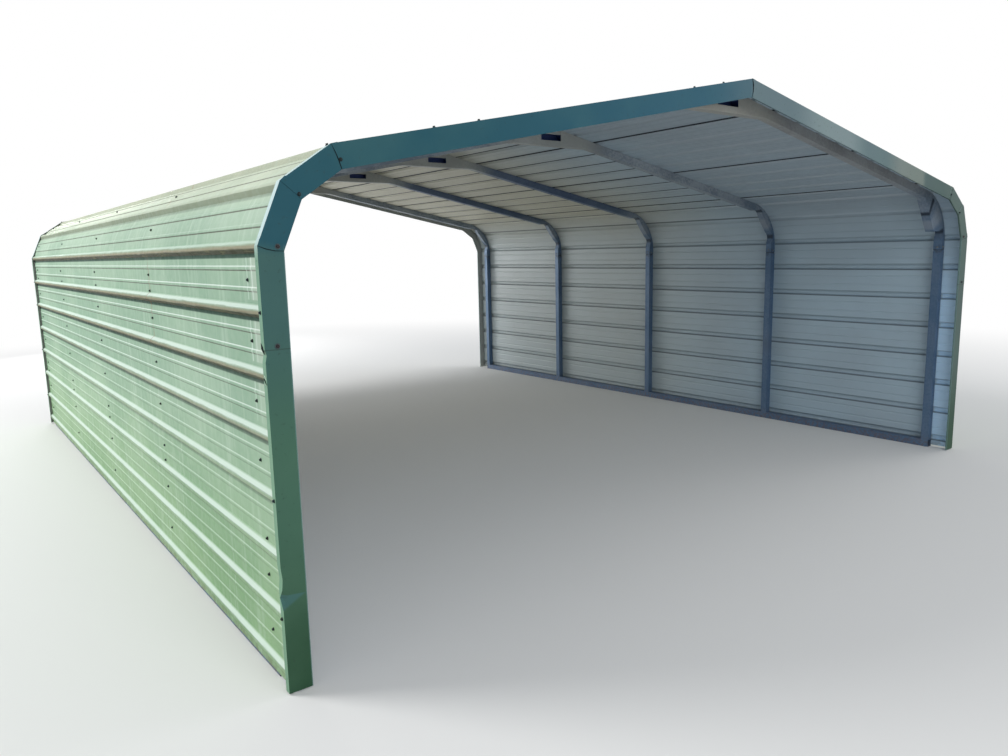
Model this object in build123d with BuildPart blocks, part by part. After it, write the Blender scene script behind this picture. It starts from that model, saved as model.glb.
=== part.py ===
from build123d import *
from math import asin, atan, cos, pi, radians, sin, tan
import os

# Open carport with sheeted side walls and a low gable roof.
# Origin on the ground at the middle of the plan, X across, Y from front to rear, Z up. Millimetres.

# Frame as a whole
frame_width = 5486.4          # outside to outside of the legs
frame_length = 6096.0         # outside to outside of the end bows
bow_count = 5
roof_pitch = 11.3             # degrees up from level
bend_radius = 406.4           # outside of the eave bend

# Square tube of the frame
tube_size = 57.15
tube_wall = 2.1
leg_length = 1524.0           # from the base rail to the joint with the bow
stub_length = 44.5            # straight end of the bow under its bend
swage_taper = 12.0            # where the leg narrows to enter the bow
swage_gap = 3.0               # from the leg's end to where the bend starts
nipple_height = 100.0         # stub on the base rail inside each leg
slide_gap = 0.3               # all round a tube inside another
butt_gap = 0.3                # between pieces that meet end to end
crimp_depth = 26.0            # of the two folds pressed into the inside of each bend
crimp_place = 0.2             # share of the bend from either end of it to a fold
crimp_half = 0.16             # and from the middle of a fold to where it has run out
crimp_bulge = 9.0             # how far the tube swells between its folds
peak_crimp_half = 92.0        # level fold under the peak of a bow
peak_crimp_rise = 8.0         # above the corner that it takes out
peak_crimp_run = 22.0         # slope at its ends
crimp_steps = 50              # straight cuts round the inside of a bend

# Channels that brace the frame
channel_gauge = 2.6
peak_brace_half = 345.0       # half length along its lower face
peak_flange_overlap = 40.0    # of its flanges on the sides of the rafters
notch_left = 95.0             # notch in the front flange, either side of the peak
notch_right = 88.0
notch_sill = 36.0             # flange left under the notch
corner_brace_reach = 318.0    # along the rafter, in from the inside of the leg
corner_brace_foot = 143.0     # its lower corner, in from the inside of the leg
corner_brace_rise = 96.4      # its lower edge, above the start of the bend
corner_brace_overlap = 30.0   # of its flanges on the sides of the bow
corner_lap_steps = 5          # straight cuts along that curved edge

# Ribbed sheet
sheet_gauge = 1.0
sheet_overhang = 152.4        # past each end bow
sheet_floor_gap = 12.0
sheet_seat = 0.3              # off the tubes
rib_pitch = 228.6
rib_height = 19.0
rib_base = 46.0
rib_top = 16.0
minor_height = 3.0
minor_base = 18.0
minor_top = 6.0
minor_per_pitch = 2
ribs_per_sheet = 4
lap_gap = 0.3
lap_lip = 12.0                # lower edge of a sheet, past its last rib
bend_step = 26.0              # longest flat run of a sheet in the bend

# Folded trim on both open ends
trim_gauge = 1.0
trim_face = 95.0
trim_return = 30.0            # along the tops of the ribs
trim_hem = 10.0
trim_rib_gap = 0.4            # off the tallest ribs
trim_floor_gap = 6.0
fold_gap = 0.5                # where the leg trim meets the rake trim

past_end = 20.0               # how far a cutting shape runs past what it cuts

# Derived places
half_width = frame_width / 2
half_length = frame_length / 2
half_sheet = half_length + sheet_overhang
tube_bore = tube_size - 2 * tube_wall
inner_size = tube_bore - 2 * slide_gap
rail_x = half_width - tube_size / 2
joint_height = tube_size + leg_length
tangent_height = joint_height + stub_length
pitch = radians(roof_pitch)
bend_turn = pi / 2 - pitch
bend_x = half_width - bend_radius
bend_run = bend_radius * bend_turn
roof_start_x = bend_x + bend_radius * sin(pitch)
roof_start_z = tangent_height + bend_radius * cos(pitch)
ridge_height = roof_start_z + roof_start_x * tan(pitch)
ridge_run = tangent_height + bend_run + roof_start_x / cos(pitch)
swage_length = stub_length - swage_gap
bow_spacing = (frame_length - tube_size) / (bow_count - 1)
bow_places = [tube_size / 2 - half_length + n * bow_spacing for n in range(bow_count)]


# A point on the skin of the right half: run is measured from the floor up the outside
# of the frame, lift straight out from it.
def skin_point(run, lift):
    if run <= tangent_height:
        return (half_width + lift, run)
    if run <= tangent_height + bend_run:
        turn = (run - tangent_height) / bend_radius
        reach = bend_radius + lift
        return (bend_x + reach * cos(turn), tangent_height + reach * sin(turn))
    along = run - tangent_height - bend_run
    x = roof_start_x + lift * sin(pitch) - along * cos(pitch)
    return (x, roof_start_z + lift * cos(pitch) + along * sin(pitch))


# Height of the roof line at x, lifted straight off the frame
def roof_height(x, lift):
    return ridge_height + lift / cos(pitch) - abs(x) * tan(pitch)


def face_of(points):
    with BuildSketch(Plane.XZ) as outline:
        with BuildLine():
            Polyline(*points, close=True)
        make_face()
    return outline.sketch


# How deep the inside of the bend is pressed in at some share of the way round it
def crimp_at(share):
    nearest = crimp_place if share < 0.5 else 1 - crimp_place
    off = abs(share - nearest) / crimp_half
    if off < 1:
        return crimp_depth * (1 + cos(pi * off)) / 2
    if crimp_place < share < 1 - crimp_place:
        middle = 0.5 - crimp_place - crimp_half
        return -crimp_bulge * cos(pi / 2 * (share - 0.5) / middle)
    return 0


# Side view of half a bow. The outside edge is set in by inset, the inside edge comes out
# by the same, and the ends run on by past, so that inset 0 draws the tube and one wall its bore.
def bow_side(inset, past):
    foot = joint_height - past
    top_x = butt_gap / 2 - past
    outside = bend_radius - inset
    inside = bend_radius - tube_size + inset
    folds = []
    for n in range(crimp_steps + 1):
        turn = bend_turn * n / crimp_steps
        reach = inside + crimp_at(n / crimp_steps)
        folds.append((bend_x + reach * cos(turn), tangent_height + reach * sin(turn)))
    top_outside = roof_height(0, -inset) - top_x * tan(pitch)
    fold_height = roof_height(0, -tube_size) + peak_crimp_rise + inset
    fold_end = peak_crimp_half + peak_crimp_run
    fold_foot = roof_height(fold_end, inset - tube_size)
    with BuildSketch(Plane.XZ) as side:
        with BuildLine():
            up = Line((bend_x + outside, foot), (bend_x + outside, tangent_height))
            bend = CenterArc((bend_x, tangent_height), outside, 0, 90 - roof_pitch)
            Line(bend @ 1, (top_x, top_outside))
            Line((top_x, top_outside), (top_x, fold_height))
            Polyline(
                (top_x, fold_height), (peak_crimp_half, fold_height), (fold_end, fold_foot),
                *reversed(folds), (bend_x + inside, foot),
            )
            Line((bend_x + inside, foot), up @ 0)
        make_face()
    return side.sketch


# Half of a bow, on the right, with its tube centred on Y
with BuildPart() as bow_half:
    add(extrude(bow_side(0, 0), amount=tube_size / 2, both=True))
    add(extrude(bow_side(tube_wall, past_end), amount=tube_bore / 2, both=True), mode=Mode.SUBTRACT)

# Upright leg, open at the foot and swaged at the top to enter the bow
with BuildPart() as leg:
    with BuildSketch(Plane.XY.offset(tube_size)):
        Rectangle(tube_size, tube_size)
    extrude(amount=leg_length - swage_taper)
    with BuildSketch(Plane.XY.offset(joint_height - swage_taper)):
        Rectangle(tube_size, tube_size)
    with BuildSketch(Plane.XY.offset(joint_height)):
        Rectangle(inner_size, inner_size)
    loft()
    with BuildSketch(Plane.XY.offset(joint_height)):
        Rectangle(inner_size, inner_size)
    extrude(amount=swage_length)
    with BuildSketch(Plane.XY.offset(tube_size)):
        Rectangle(tube_bore, tube_bore)
    extrude(amount=leg_length - swage_taper, mode=Mode.SUBTRACT)
    with BuildSketch(Plane.XY.offset(joint_height - swage_taper)):
        Rectangle(tube_bore, tube_bore)
    with BuildSketch(Plane.XY.offset(joint_height)):
        Rectangle(inner_size - 2 * tube_wall, inner_size - 2 * tube_wall)
    loft(mode=Mode.SUBTRACT)
    with BuildSketch(Plane.XY.offset(joint_height)):
        Rectangle(inner_size - 2 * tube_wall, inner_size - 2 * tube_wall)
    extrude(amount=swage_length, mode=Mode.SUBTRACT)

# Base rail with a nipple for each leg
with BuildPart() as base_rail:
    with BuildSketch(Plane.XZ):
        with Locations((0, tube_size / 2)):
            Rectangle(tube_size, tube_size)
            Rectangle(tube_bore, tube_bore, mode=Mode.SUBTRACT)
    extrude(amount=half_length, both=True)
    with BuildSketch(Plane.XY.offset(tube_size)):
        with Locations(*[(0, place) for place in bow_places]):
            Rectangle(inner_size, inner_size)
            Rectangle(inner_size - 2 * tube_wall, inner_size - 2 * tube_wall, mode=Mode.SUBTRACT)
    extrude(amount=nipple_height)


# Channel folded round the bow: two flanges of the given outline on the sides of the tube and
# a web on the stretch from start to end, set outside it.
def channel(flange, web):
    cheek = tube_size / 2 + slide_gap
    with BuildPart() as piece:
        for side in (-1, 1):
            with BuildSketch(Plane.XZ.offset(side * (cheek + channel_gauge / 2))):
                with BuildLine():
                    Polyline(*flange, close=True)
                make_face()
            extrude(amount=channel_gauge / 2, both=True)
        add(extrude(face_of(web), amount=cheek + channel_gauge, both=True))
    return piece


# Peak brace: level channel under the peak, its front flange notched in the middle
web_top = roof_height(peak_brace_half, -tube_size) - slide_gap
web_foot = web_top - channel_gauge
flange_lift = peak_flange_overlap - tube_size
flange_end = roof_height(peak_brace_half, flange_lift)
flange_top = roof_height(0, flange_lift)
peak_brace = channel(
    [(-peak_brace_half, web_foot), (peak_brace_half, web_foot),
     (peak_brace_half, flange_end), (0, flange_top), (-peak_brace_half, flange_end)],
    [(-peak_brace_half, web_foot), (peak_brace_half, web_foot),
     (peak_brace_half, web_top), (-peak_brace_half, web_top)],
)
with BuildPart() as notched_peak_brace:
    add(peak_brace.part)
    with BuildSketch(Plane.XZ.offset(tube_size / 2)):
        with BuildLine():
            Polyline(
                (-notch_left, web_foot + notch_sill), (notch_right, web_foot + notch_sill),
                (notch_right, flange_top + past_end), (-notch_left, flange_top + past_end),
                close=True,
            )
        make_face()
    extrude(amount=past_end, mode=Mode.SUBTRACT)

# Corner brace: short channel inside the bend, its web on the slanting edge
leg_inside = half_width - tube_size
brace_top_x = leg_inside - corner_brace_reach
brace_top = (brace_top_x, roof_height(brace_top_x, -tube_size) - slide_gap)
brace_foot = (leg_inside - corner_brace_foot, tangent_height + corner_brace_rise)
slant = atan((brace_foot[0] - brace_top[0]) / (brace_top[1] - brace_foot[1]))
web_top_width = channel_gauge / cos(slant + pitch)
lap_reach = bend_radius - tube_size + corner_brace_overlap
foot_turn = asin(corner_brace_rise / lap_reach)
lap_turns = [foot_turn + (bend_turn - foot_turn) * n / corner_lap_steps for n in range(corner_lap_steps + 1)]
corner_flange = [
    brace_foot,
    *[(bend_x + lap_reach * cos(t), tangent_height + lap_reach * sin(t)) for t in lap_turns],
    (brace_top_x, roof_height(brace_top_x, corner_brace_overlap - tube_size)),
    brace_top,
]
corner_web = [
    brace_foot,
    (brace_foot[0] + channel_gauge / cos(slant), brace_foot[1]),
    (brace_top[0] + web_top_width * cos(pitch), brace_top[1] - web_top_width * sin(pitch)),
    brace_top,
]
corner_brace = channel(corner_flange, corner_web)

# Sheet profile. Each surface of a sheet is the frame's outside lifted by some amount, and a
# rib's width grows with that lift so that the metal keeps its gauge.
flank_angle = atan(2 * rib_height / (rib_base - rib_top))
flank_run = 1 / tan(flank_angle)
rib_spread = tan(flank_angle / 2)
minor_spread = tan(atan(2 * minor_height / (minor_base - minor_top)) / 2)
lap_lift = sheet_gauge + lap_gap


def major_rib(run, lift):
    foot = rib_base / 2 + lift * rib_spread
    crest = rib_top / 2 + lift * rib_spread
    top = lift + rib_height
    return [(run + foot, lift), (run + crest, top), (run - crest, top), (run - foot, lift)]


def minor_rib(run, lift):
    foot = minor_base / 2 + lift * minor_spread
    crest = minor_top / 2 + lift * minor_spread
    top = lift + minor_height
    return [(run + foot, lift), (run + crest, top), (run - crest, top), (run - foot, lift)]


# The rib at the lower edge of a sheet, which covers the upper rib of the sheet below
def lap_rib(run, lift):
    raised = major_rib(run, lift + lap_lift)
    foot = raised[0][0] + lap_lift * flank_run
    return [(foot, lift), raised[1], raised[2], raised[3], (run - rib_base / 2 - lap_lip, raised[3][1])]


def minor_ribs_under(run, lift):
    points = []
    for n in range(1, minor_per_pitch + 1):
        points += minor_rib(run - n * rib_pitch / (minor_per_pitch + 1), lift)
    return points


# One surface of a sheet from its upper rib down to its lapping rib
def sheet_surface(first_rib, lift):
    points = []
    for n in range(ribs_per_sheet):
        run = first_rib - n * rib_pitch
        points += major_rib(run, lift) + minor_ribs_under(run, lift)
    return points + lap_rib(first_rib - ribs_per_sheet * rib_pitch, lift)


# The lowest sheet is cut off just above the ground
def cut_at_floor(points):
    kept = []
    for (run, lift), (next_run, next_lift) in zip(points, points[1:]):
        kept.append((run, lift))
        if next_run < sheet_floor_gap:
            share = (run - sheet_floor_gap) / (run - next_run)
            kept.append((sheet_floor_gap, lift + (next_lift - lift) * share))
            return kept
    return kept + [points[-1]]


# The sheet over the peak, one side of it, from the fold down
def ridge_surface(lift):
    points = minor_ribs_under(ridge_run, lift)
    for n in range(1, ribs_per_sheet // 2):
        run = ridge_run - n * rib_pitch
        points += major_rib(run, lift) + minor_ribs_under(run, lift)
    return points + lap_rib(ridge_run - ribs_per_sheet // 2 * rib_pitch, lift)


def bent_points(surface):
    points = [skin_point(*surface[0])]
    for (run, lift), (next_run, next_lift) in zip(surface, surface[1:]):
        in_bend = next_run < tangent_height + bend_run and run > tangent_height
        cuts = int((run - next_run) / bend_step) + 1 if in_bend else 1
        for n in range(1, cuts + 1):
            share = n / cuts
            points.append(skin_point(run + (next_run - run) * share, lift + (next_lift - lift) * share))
    return points


def side_sheet(first_rib):
    under = bent_points(cut_at_floor(sheet_surface(first_rib, sheet_seat)))
    top = bent_points(cut_at_floor(sheet_surface(first_rib, sheet_seat + sheet_gauge)))
    with BuildPart() as sheet:
        add(extrude(face_of(under + top[::-1]), amount=half_sheet, both=True))
    return sheet


# Sheets of one side from the ridge sheet down, each named for where it lies
side_sheets = {}
lap_run = ridge_run - ribs_per_sheet // 2 * rib_pitch
while lap_run > sheet_floor_gap + rib_base:
    sheet_foot = lap_run - ribs_per_sheet * rib_pitch
    if sheet_foot > tangent_height:
        place_name = "roof_sheet"
    elif lap_run > tangent_height:
        place_name = "eave_sheet"
    else:
        place_name = "wall_sheet"
    number = 1 + sum(name.startswith(place_name) for name in side_sheets)
    side_sheets[f"{place_name}_{number}"] = side_sheet(lap_run)
    lap_run = sheet_foot

under_half = [skin_point(*point) for point in ridge_surface(sheet_seat)]
top_half = [skin_point(*point) for point in ridge_surface(sheet_seat + sheet_gauge)]
under_fold = [(0, roof_height(0, sheet_seat))]
top_fold = [(0, roof_height(0, sheet_seat + sheet_gauge))]
ridge_outline = (
    [(-x, z) for x, z in under_half[::-1]] + under_fold + under_half
    + top_half[::-1] + top_fold + [(-x, z) for x, z in top_half]
)
with BuildPart() as ridge_sheet:
    add(extrude(face_of(ridge_outline), amount=half_sheet, both=True))

# Trim. Its under side is a chain of straight lines: up the wall, over each pair of ribs on
# the bend, and up the roof. A line is kept as the way it faces and its distance from the
# centre of the bend.
crest_lift = sheet_seat + sheet_gauge + lap_lift
trim_lift = crest_lift + rib_height + trim_rib_gap
trim_reach = bend_radius + trim_lift
skin_reach = bend_radius + crest_lift + minor_height + trim_rib_gap
crest_turn = (rib_top / 2 + crest_lift * rib_spread) / trim_reach
rib_runs = [ridge_run - n * rib_pitch for n in range(int(ridge_run / rib_pitch))]
rib_turns = [(run - tangent_height) / bend_radius for run in rib_runs]
fold_turns = sorted(turn for turn in rib_turns if 0 < turn < bend_turn)
trim_lines = [(0, trim_reach)]
for low, high in zip(fold_turns, fold_turns[1:]):
    crest_reach = trim_reach * cos((high - low) / 2 - crest_turn)
    trim_lines.append(((low + high) / 2, max(crest_reach, skin_reach)))
trim_lines.append((bend_turn, trim_reach))
trim_front = -half_sheet - butt_gap


# Corners where each line meets the next, all of them set out by some amount
def trim_corners(out):
    corners = []
    for (facing, reach), (next_facing, next_reach) in zip(trim_lines, trim_lines[1:]):
        scale = 1 / sin(next_facing - facing)
        across = (reach + out) * sin(next_facing) - (next_reach + out) * sin(facing)
        up = (next_reach + out) * cos(facing) - (reach + out) * cos(next_facing)
        corners.append((bend_x + across * scale, tangent_height + up * scale))
    return corners


def leg_trim_line(out):
    x, z = trim_corners(out)[0]
    return [(x, trim_floor_gap), (x, z - fold_gap)]


def rake_trim_line(out):
    return trim_corners(out) + [(butt_gap / 2, roof_height(butt_gap / 2, trim_lift + out))]


# Front right trim: the face, its return over the ribs and the hem at its inner edge
def trim(line):
    outer = trim_gauge
    inner = outer - trim_face
    with BuildPart() as piece:
        with BuildSketch(Plane.XZ.offset(-trim_front)):
            with BuildLine():
                Polyline(*line(outer), *line(inner)[::-1], close=True)
            make_face()
        extrude(amount=trim_gauge)
        with BuildSketch(Plane.XZ.offset(-trim_front)):
            with BuildLine():
                Polyline(*line(outer), *line(0)[::-1], close=True)
            make_face()
        extrude(amount=-trim_return)
        with BuildSketch(Plane.XZ.offset(-trim_front)):
            with BuildLine():
                Polyline(*line(inner + trim_gauge), *line(inner)[::-1], close=True)
            make_face()
        extrude(amount=-trim_hem)
    return piece


trims = {"leg_trim": trim(leg_trim_line), "rake_trim": trim(rake_trim_line)}

# Every piece in its place
os.makedirs("parts", exist_ok=True)


def save(shape, name):
    shape.label = name
    export_step(shape, f"parts/{name}.step")


for side, sign in (("left", -1), ("right", 1)):
    mirrored = sign < 0
    save(Pos(sign * rail_x, 0, 0) * base_rail.part, f"{side}_base_rail")
    for n, place in enumerate(bow_places, start=1):
        save(Pos(sign * rail_x, place, 0) * leg.part, f"{side}_leg_{n}")
        half = mirror(bow_half.part, about=Plane.YZ) if mirrored else bow_half.part
        save(Pos(0, place, 0) * half, f"{side}_bow_{n}")
    for name, sheet in side_sheets.items():
        save(mirror(sheet.part, about=Plane.YZ) if mirrored else sheet.part, f"{side}_{name}")
    for name, piece in trims.items():
        front = mirror(piece.part, about=Plane.YZ) if mirrored else piece.part
        save(front, f"front_{side}_{name}")
        save(mirror(front, about=Plane.XZ), f"rear_{side}_{name}")

save(ridge_sheet.part, "ridge_sheet")
save(Pos(0, bow_places[0], 0) * corner_brace.part, "corner_brace")
save(Compound([Pos(0, place, 0) * notched_peak_brace.part for place in bow_places]), "peak_braces")
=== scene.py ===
import math
import random

import bmesh
import bpy
from mathutils import Euler, Matrix, Vector


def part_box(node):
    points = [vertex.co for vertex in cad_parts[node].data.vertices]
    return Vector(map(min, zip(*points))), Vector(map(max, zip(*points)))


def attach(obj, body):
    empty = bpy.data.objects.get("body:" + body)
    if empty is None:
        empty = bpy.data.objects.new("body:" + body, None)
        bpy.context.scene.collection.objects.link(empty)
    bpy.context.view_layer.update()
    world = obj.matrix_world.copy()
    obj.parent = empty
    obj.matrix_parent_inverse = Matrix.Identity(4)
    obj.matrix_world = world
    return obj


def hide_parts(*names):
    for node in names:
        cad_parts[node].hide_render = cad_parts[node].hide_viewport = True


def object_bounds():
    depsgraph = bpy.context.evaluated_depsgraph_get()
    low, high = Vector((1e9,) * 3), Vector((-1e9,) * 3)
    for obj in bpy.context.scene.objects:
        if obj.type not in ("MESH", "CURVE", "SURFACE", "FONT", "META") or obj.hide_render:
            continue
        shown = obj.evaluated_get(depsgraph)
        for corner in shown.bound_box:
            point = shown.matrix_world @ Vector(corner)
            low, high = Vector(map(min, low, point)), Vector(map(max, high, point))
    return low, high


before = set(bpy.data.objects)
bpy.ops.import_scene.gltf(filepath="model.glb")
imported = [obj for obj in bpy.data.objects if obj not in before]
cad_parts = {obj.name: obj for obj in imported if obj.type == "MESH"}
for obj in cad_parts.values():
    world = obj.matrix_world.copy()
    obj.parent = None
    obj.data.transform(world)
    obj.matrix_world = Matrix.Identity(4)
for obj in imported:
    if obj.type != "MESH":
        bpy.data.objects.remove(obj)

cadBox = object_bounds()
random.seed(18)
print("frame loaded,", len(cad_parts), "nodes")

# The shell's shape in metres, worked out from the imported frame
pitch = math.radians(11.3)  # roof slope
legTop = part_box("right_leg_1")[1]
halfWidth = legTop.x
bendStart = legTop.z + 0.003  # a leg ends just under the bend
jointHeight, ridgeHeight = [corner.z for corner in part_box("right_bow_1")]
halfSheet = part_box("ridge_sheet")[1].y
faceFront = abs(cadBox[0].y)  # outer face of the trim on both ends
bowPlaces = [sum(corner.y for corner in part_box(f"right_leg_{n}")) / 2 for n in range(1, 6)]
slopeShare = math.cos(pitch) + (math.sin(pitch) - 1) * math.tan(pitch)
bendRadius = (ridgeHeight - bendStart - halfWidth * math.tan(pitch)) / slopeShare
bendTurn = math.pi / 2 - pitch
bendCentre = halfWidth - bendRadius
roofStart = bendCentre + bendRadius * math.sin(pitch)
ridgeRun = bendStart + bendRadius * bendTurn + roofStart / math.cos(pitch)
ribPitch = 0.2286
ribCount = 20
lapRibs = (2, 6, 10, 14, 18)  # ribs where one sheet laps the next, counted from the ridge
tubeSize = 0.05715
braceHalf = 0.345  # half the length of the channel under each peak
spliceHeight = 1.314  # where the leg trim is lapped
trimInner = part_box("front_right_leg_trim")[0].x


def skin(run, lift):
    # a point of the right-hand shell, run metres up from the floor and lift proud of the tubes
    if run <= bendStart:
        return Vector((halfWidth + lift, 0, run)), Vector((1, 0, 0))
    if run <= bendStart + bendRadius * bendTurn:
        turn = (run - bendStart) / bendRadius
        facing = Vector((math.cos(turn), 0, math.sin(turn)))
        return Vector((bendCentre, 0, bendStart)) + facing * (bendRadius + lift), facing
    facing = Vector((math.sin(pitch), 0, math.cos(pitch)))
    along = run - bendStart - bendRadius * bendTurn
    foot = Vector((roofStart, 0, bendStart + bendRadius * math.cos(pitch)))
    return foot + facing * lift + Vector((-facing.z, 0, facing.x)) * along, facing


def seat(run, lift, y, side):
    # stands a pattern on the shell, its Z outwards and its X along the ribs
    point, facing = skin(run, lift)
    up = Vector((-facing.z * side, 0, facing.x))
    facing.x *= side
    turned = Matrix((up.cross(facing), up, facing)).transposed().to_4x4()
    return Matrix.Translation((point.x * side, y, point.z)) @ turned


def ribRun(n):
    return ridgeRun - n * ribPitch


# Materials
def hexColour(code):
    # sRGB hex to linear
    parts = [int(code[n:n + 2], 16) / 255 for n in (1, 3, 5)]
    return [p / 12.92 if p <= 0.04045 else ((p + 0.055) / 1.055) ** 2.4 for p in parts] + [1]


def addNode(tree, kind, settings, inputs):
    made = tree.nodes.new(kind)
    for key, value in settings.items():
        setattr(made, key, value)
    for key, value in inputs.items():
        if isinstance(value, bpy.types.NodeSocket):
            tree.links.new(value, made.inputs[key])
        else:
            made.inputs[key].default_value = value
    return made.outputs


def newTree(name):
    material = bpy.data.materials.new(name)
    material.use_nodes = True
    material.node_tree.nodes.clear()
    return material, material.node_tree


def makeShares(tree, bands, products):
    # a band is the value it reads, where its soft step starts and ends, and the share before
    # and after it; a product multiplies bands
    shares = {}
    for name, (source, low, high, start, end) in bands.items():
        shares[name] = addNode(tree, "ShaderNodeMapRange", {"interpolation_type": "SMOOTHSTEP"},
                               {"Value": source, "From Min": low, "From Max": high,
                                "To Min": start, "To Max": end})[0]
    for name, factors in products.items():
        product = shares[factors[0]]
        for factor in factors[1:]:
            product = addNode(tree, "ShaderNodeMath", {"operation": "MULTIPLY"},
                              {0: product, 1: shares[factor]})[0]
        shares[name] = product
    return shares


def layColours(tree, shares, paint, colour, layers):
    # each layer names a share and the colour of the paint that it brings
    for share, name in layers:
        colour = addNode(tree, "ShaderNodeMix", {"data_type": "RGBA"},
                         {0: shares[share], 6: colour, 7: hexColour(paint[name])})[2]
    return colour


def shellPlace(tree):
    # a point's place, whether it lies on the shell's outer side, and the run up it from the floor
    place = addNode(tree, "ShaderNodeTexCoord", {}, {})["Object"]
    normal = addNode(tree, "ShaderNodeNewGeometry", {}, {})["Normal"]
    spread = addNode(tree, "ShaderNodeVectorMath", {"operation": "ABSOLUTE"}, {0: place})[0]
    # Y is dropped here, since 10 m is past both ends
    beyond = addNode(tree, "ShaderNodeVectorMath", {"operation": "SUBTRACT"},
                     {0: spread, 1: (bendCentre, 10, bendStart)})[0]
    beyond = addNode(tree, "ShaderNodeVectorMath", {"operation": "MAXIMUM"}, {0: beyond, 1: (0, 0, 0)})[0]
    side = addNode(tree, "ShaderNodeVectorMath", {"operation": "SIGN"}, {0: place})[0]
    outward = addNode(tree, "ShaderNodeVectorMath", {"operation": "MULTIPLY"}, {0: beyond, 1: side})[0]
    facing = addNode(tree, "ShaderNodeVectorMath", {"operation": "DOT_PRODUCT"},
                     {0: outward, 1: normal})["Value"]
    outside = addNode(tree, "ShaderNodeMath", {"operation": "GREATER_THAN"}, {0: facing, 1: 0.0})[0]
    past = addNode(tree, "ShaderNodeSeparateXYZ", {}, {0: beyond})
    turn = addNode(tree, "ShaderNodeMath", {"operation": "ARCTAN2"}, {0: past["Z"], 1: past["X"]})[0]
    turn = addNode(tree, "ShaderNodeMath", {"operation": "MINIMUM"}, {0: turn, 1: bendTurn})[0]
    across = addNode(tree, "ShaderNodeSeparateXYZ", {}, {0: spread})
    wall = addNode(tree, "ShaderNodeMath", {"operation": "MINIMUM"}, {0: across["Z"], 1: bendStart})[0]
    run = addNode(tree, "ShaderNodeMath", {"operation": "MULTIPLY_ADD"},
                  {0: turn, 1: bendRadius, 2: wall})[0]
    roof = addNode(tree, "ShaderNodeMath", {"operation": "MULTIPLY_ADD"},
                   {0: across["X"], 1: -1 / math.cos(pitch), 2: roofStart / math.cos(pitch)})[0]
    roof = addNode(tree, "ShaderNodeMath", {"operation": "MAXIMUM"}, {0: roof, 1: 0.0})[0]
    run = addNode(tree, "ShaderNodeMath", {"operation": "ADD"}, {0: run, 1: roof})[0]
    return place, outside, run


sheetPaint = {
    # outside
    "wall": "#8DAE91", "roof": "#BDC3A4", "lowBend": "#8FA58F", "highBend": "#DAD6BE",
    "grassLight": "#7BA566", "damp": "#6E9480", "wash": "#BCD0BC", "chalkAndHighlight": "#E3EFE6",
    "crest": "#D0E0D4", "ribTop": "#857F62", "ribEdge": "#7F9184", "ribDirtAndShade": "#3F3F2E",
    "mottle": "#8A8768", "ribShadow": "#1F4437", "bleachedAndLit": "#CBD3C6", "rust": "#8E5B34",
    "soil": "#6C6448",
    # inside
    "inside": "#A3B7C3", "dustAndShade": "#8E949A", "warm": "#CAC4AC", "blue": "#C6E6FF",
    "lifted": "#D3DCE2", "innerLine": "#20282E", "lapLine": "#070C14",
    "rough": 0.40, "roughest": 0.55, "gloss": 0.5, "grimeAndShadowGloss": 0.05,
    # patterns in cells per metre: along the ribs, up the run and across
    "rain": (30, 1.3, 0.6), "ribStain": (7, 130, 1), "wave": (1.4, 5.0, 1.0),
    "cloud": 1.4, "blotch": 26.0, "runPatch": 3.1,
    "stainReach": 0.012,  # how far stains blur the lines along a rib
    "streaks": ((0, -0.044), (0, 0.005), (1, 0)),  # number of the bow, metres behind it
}


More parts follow.
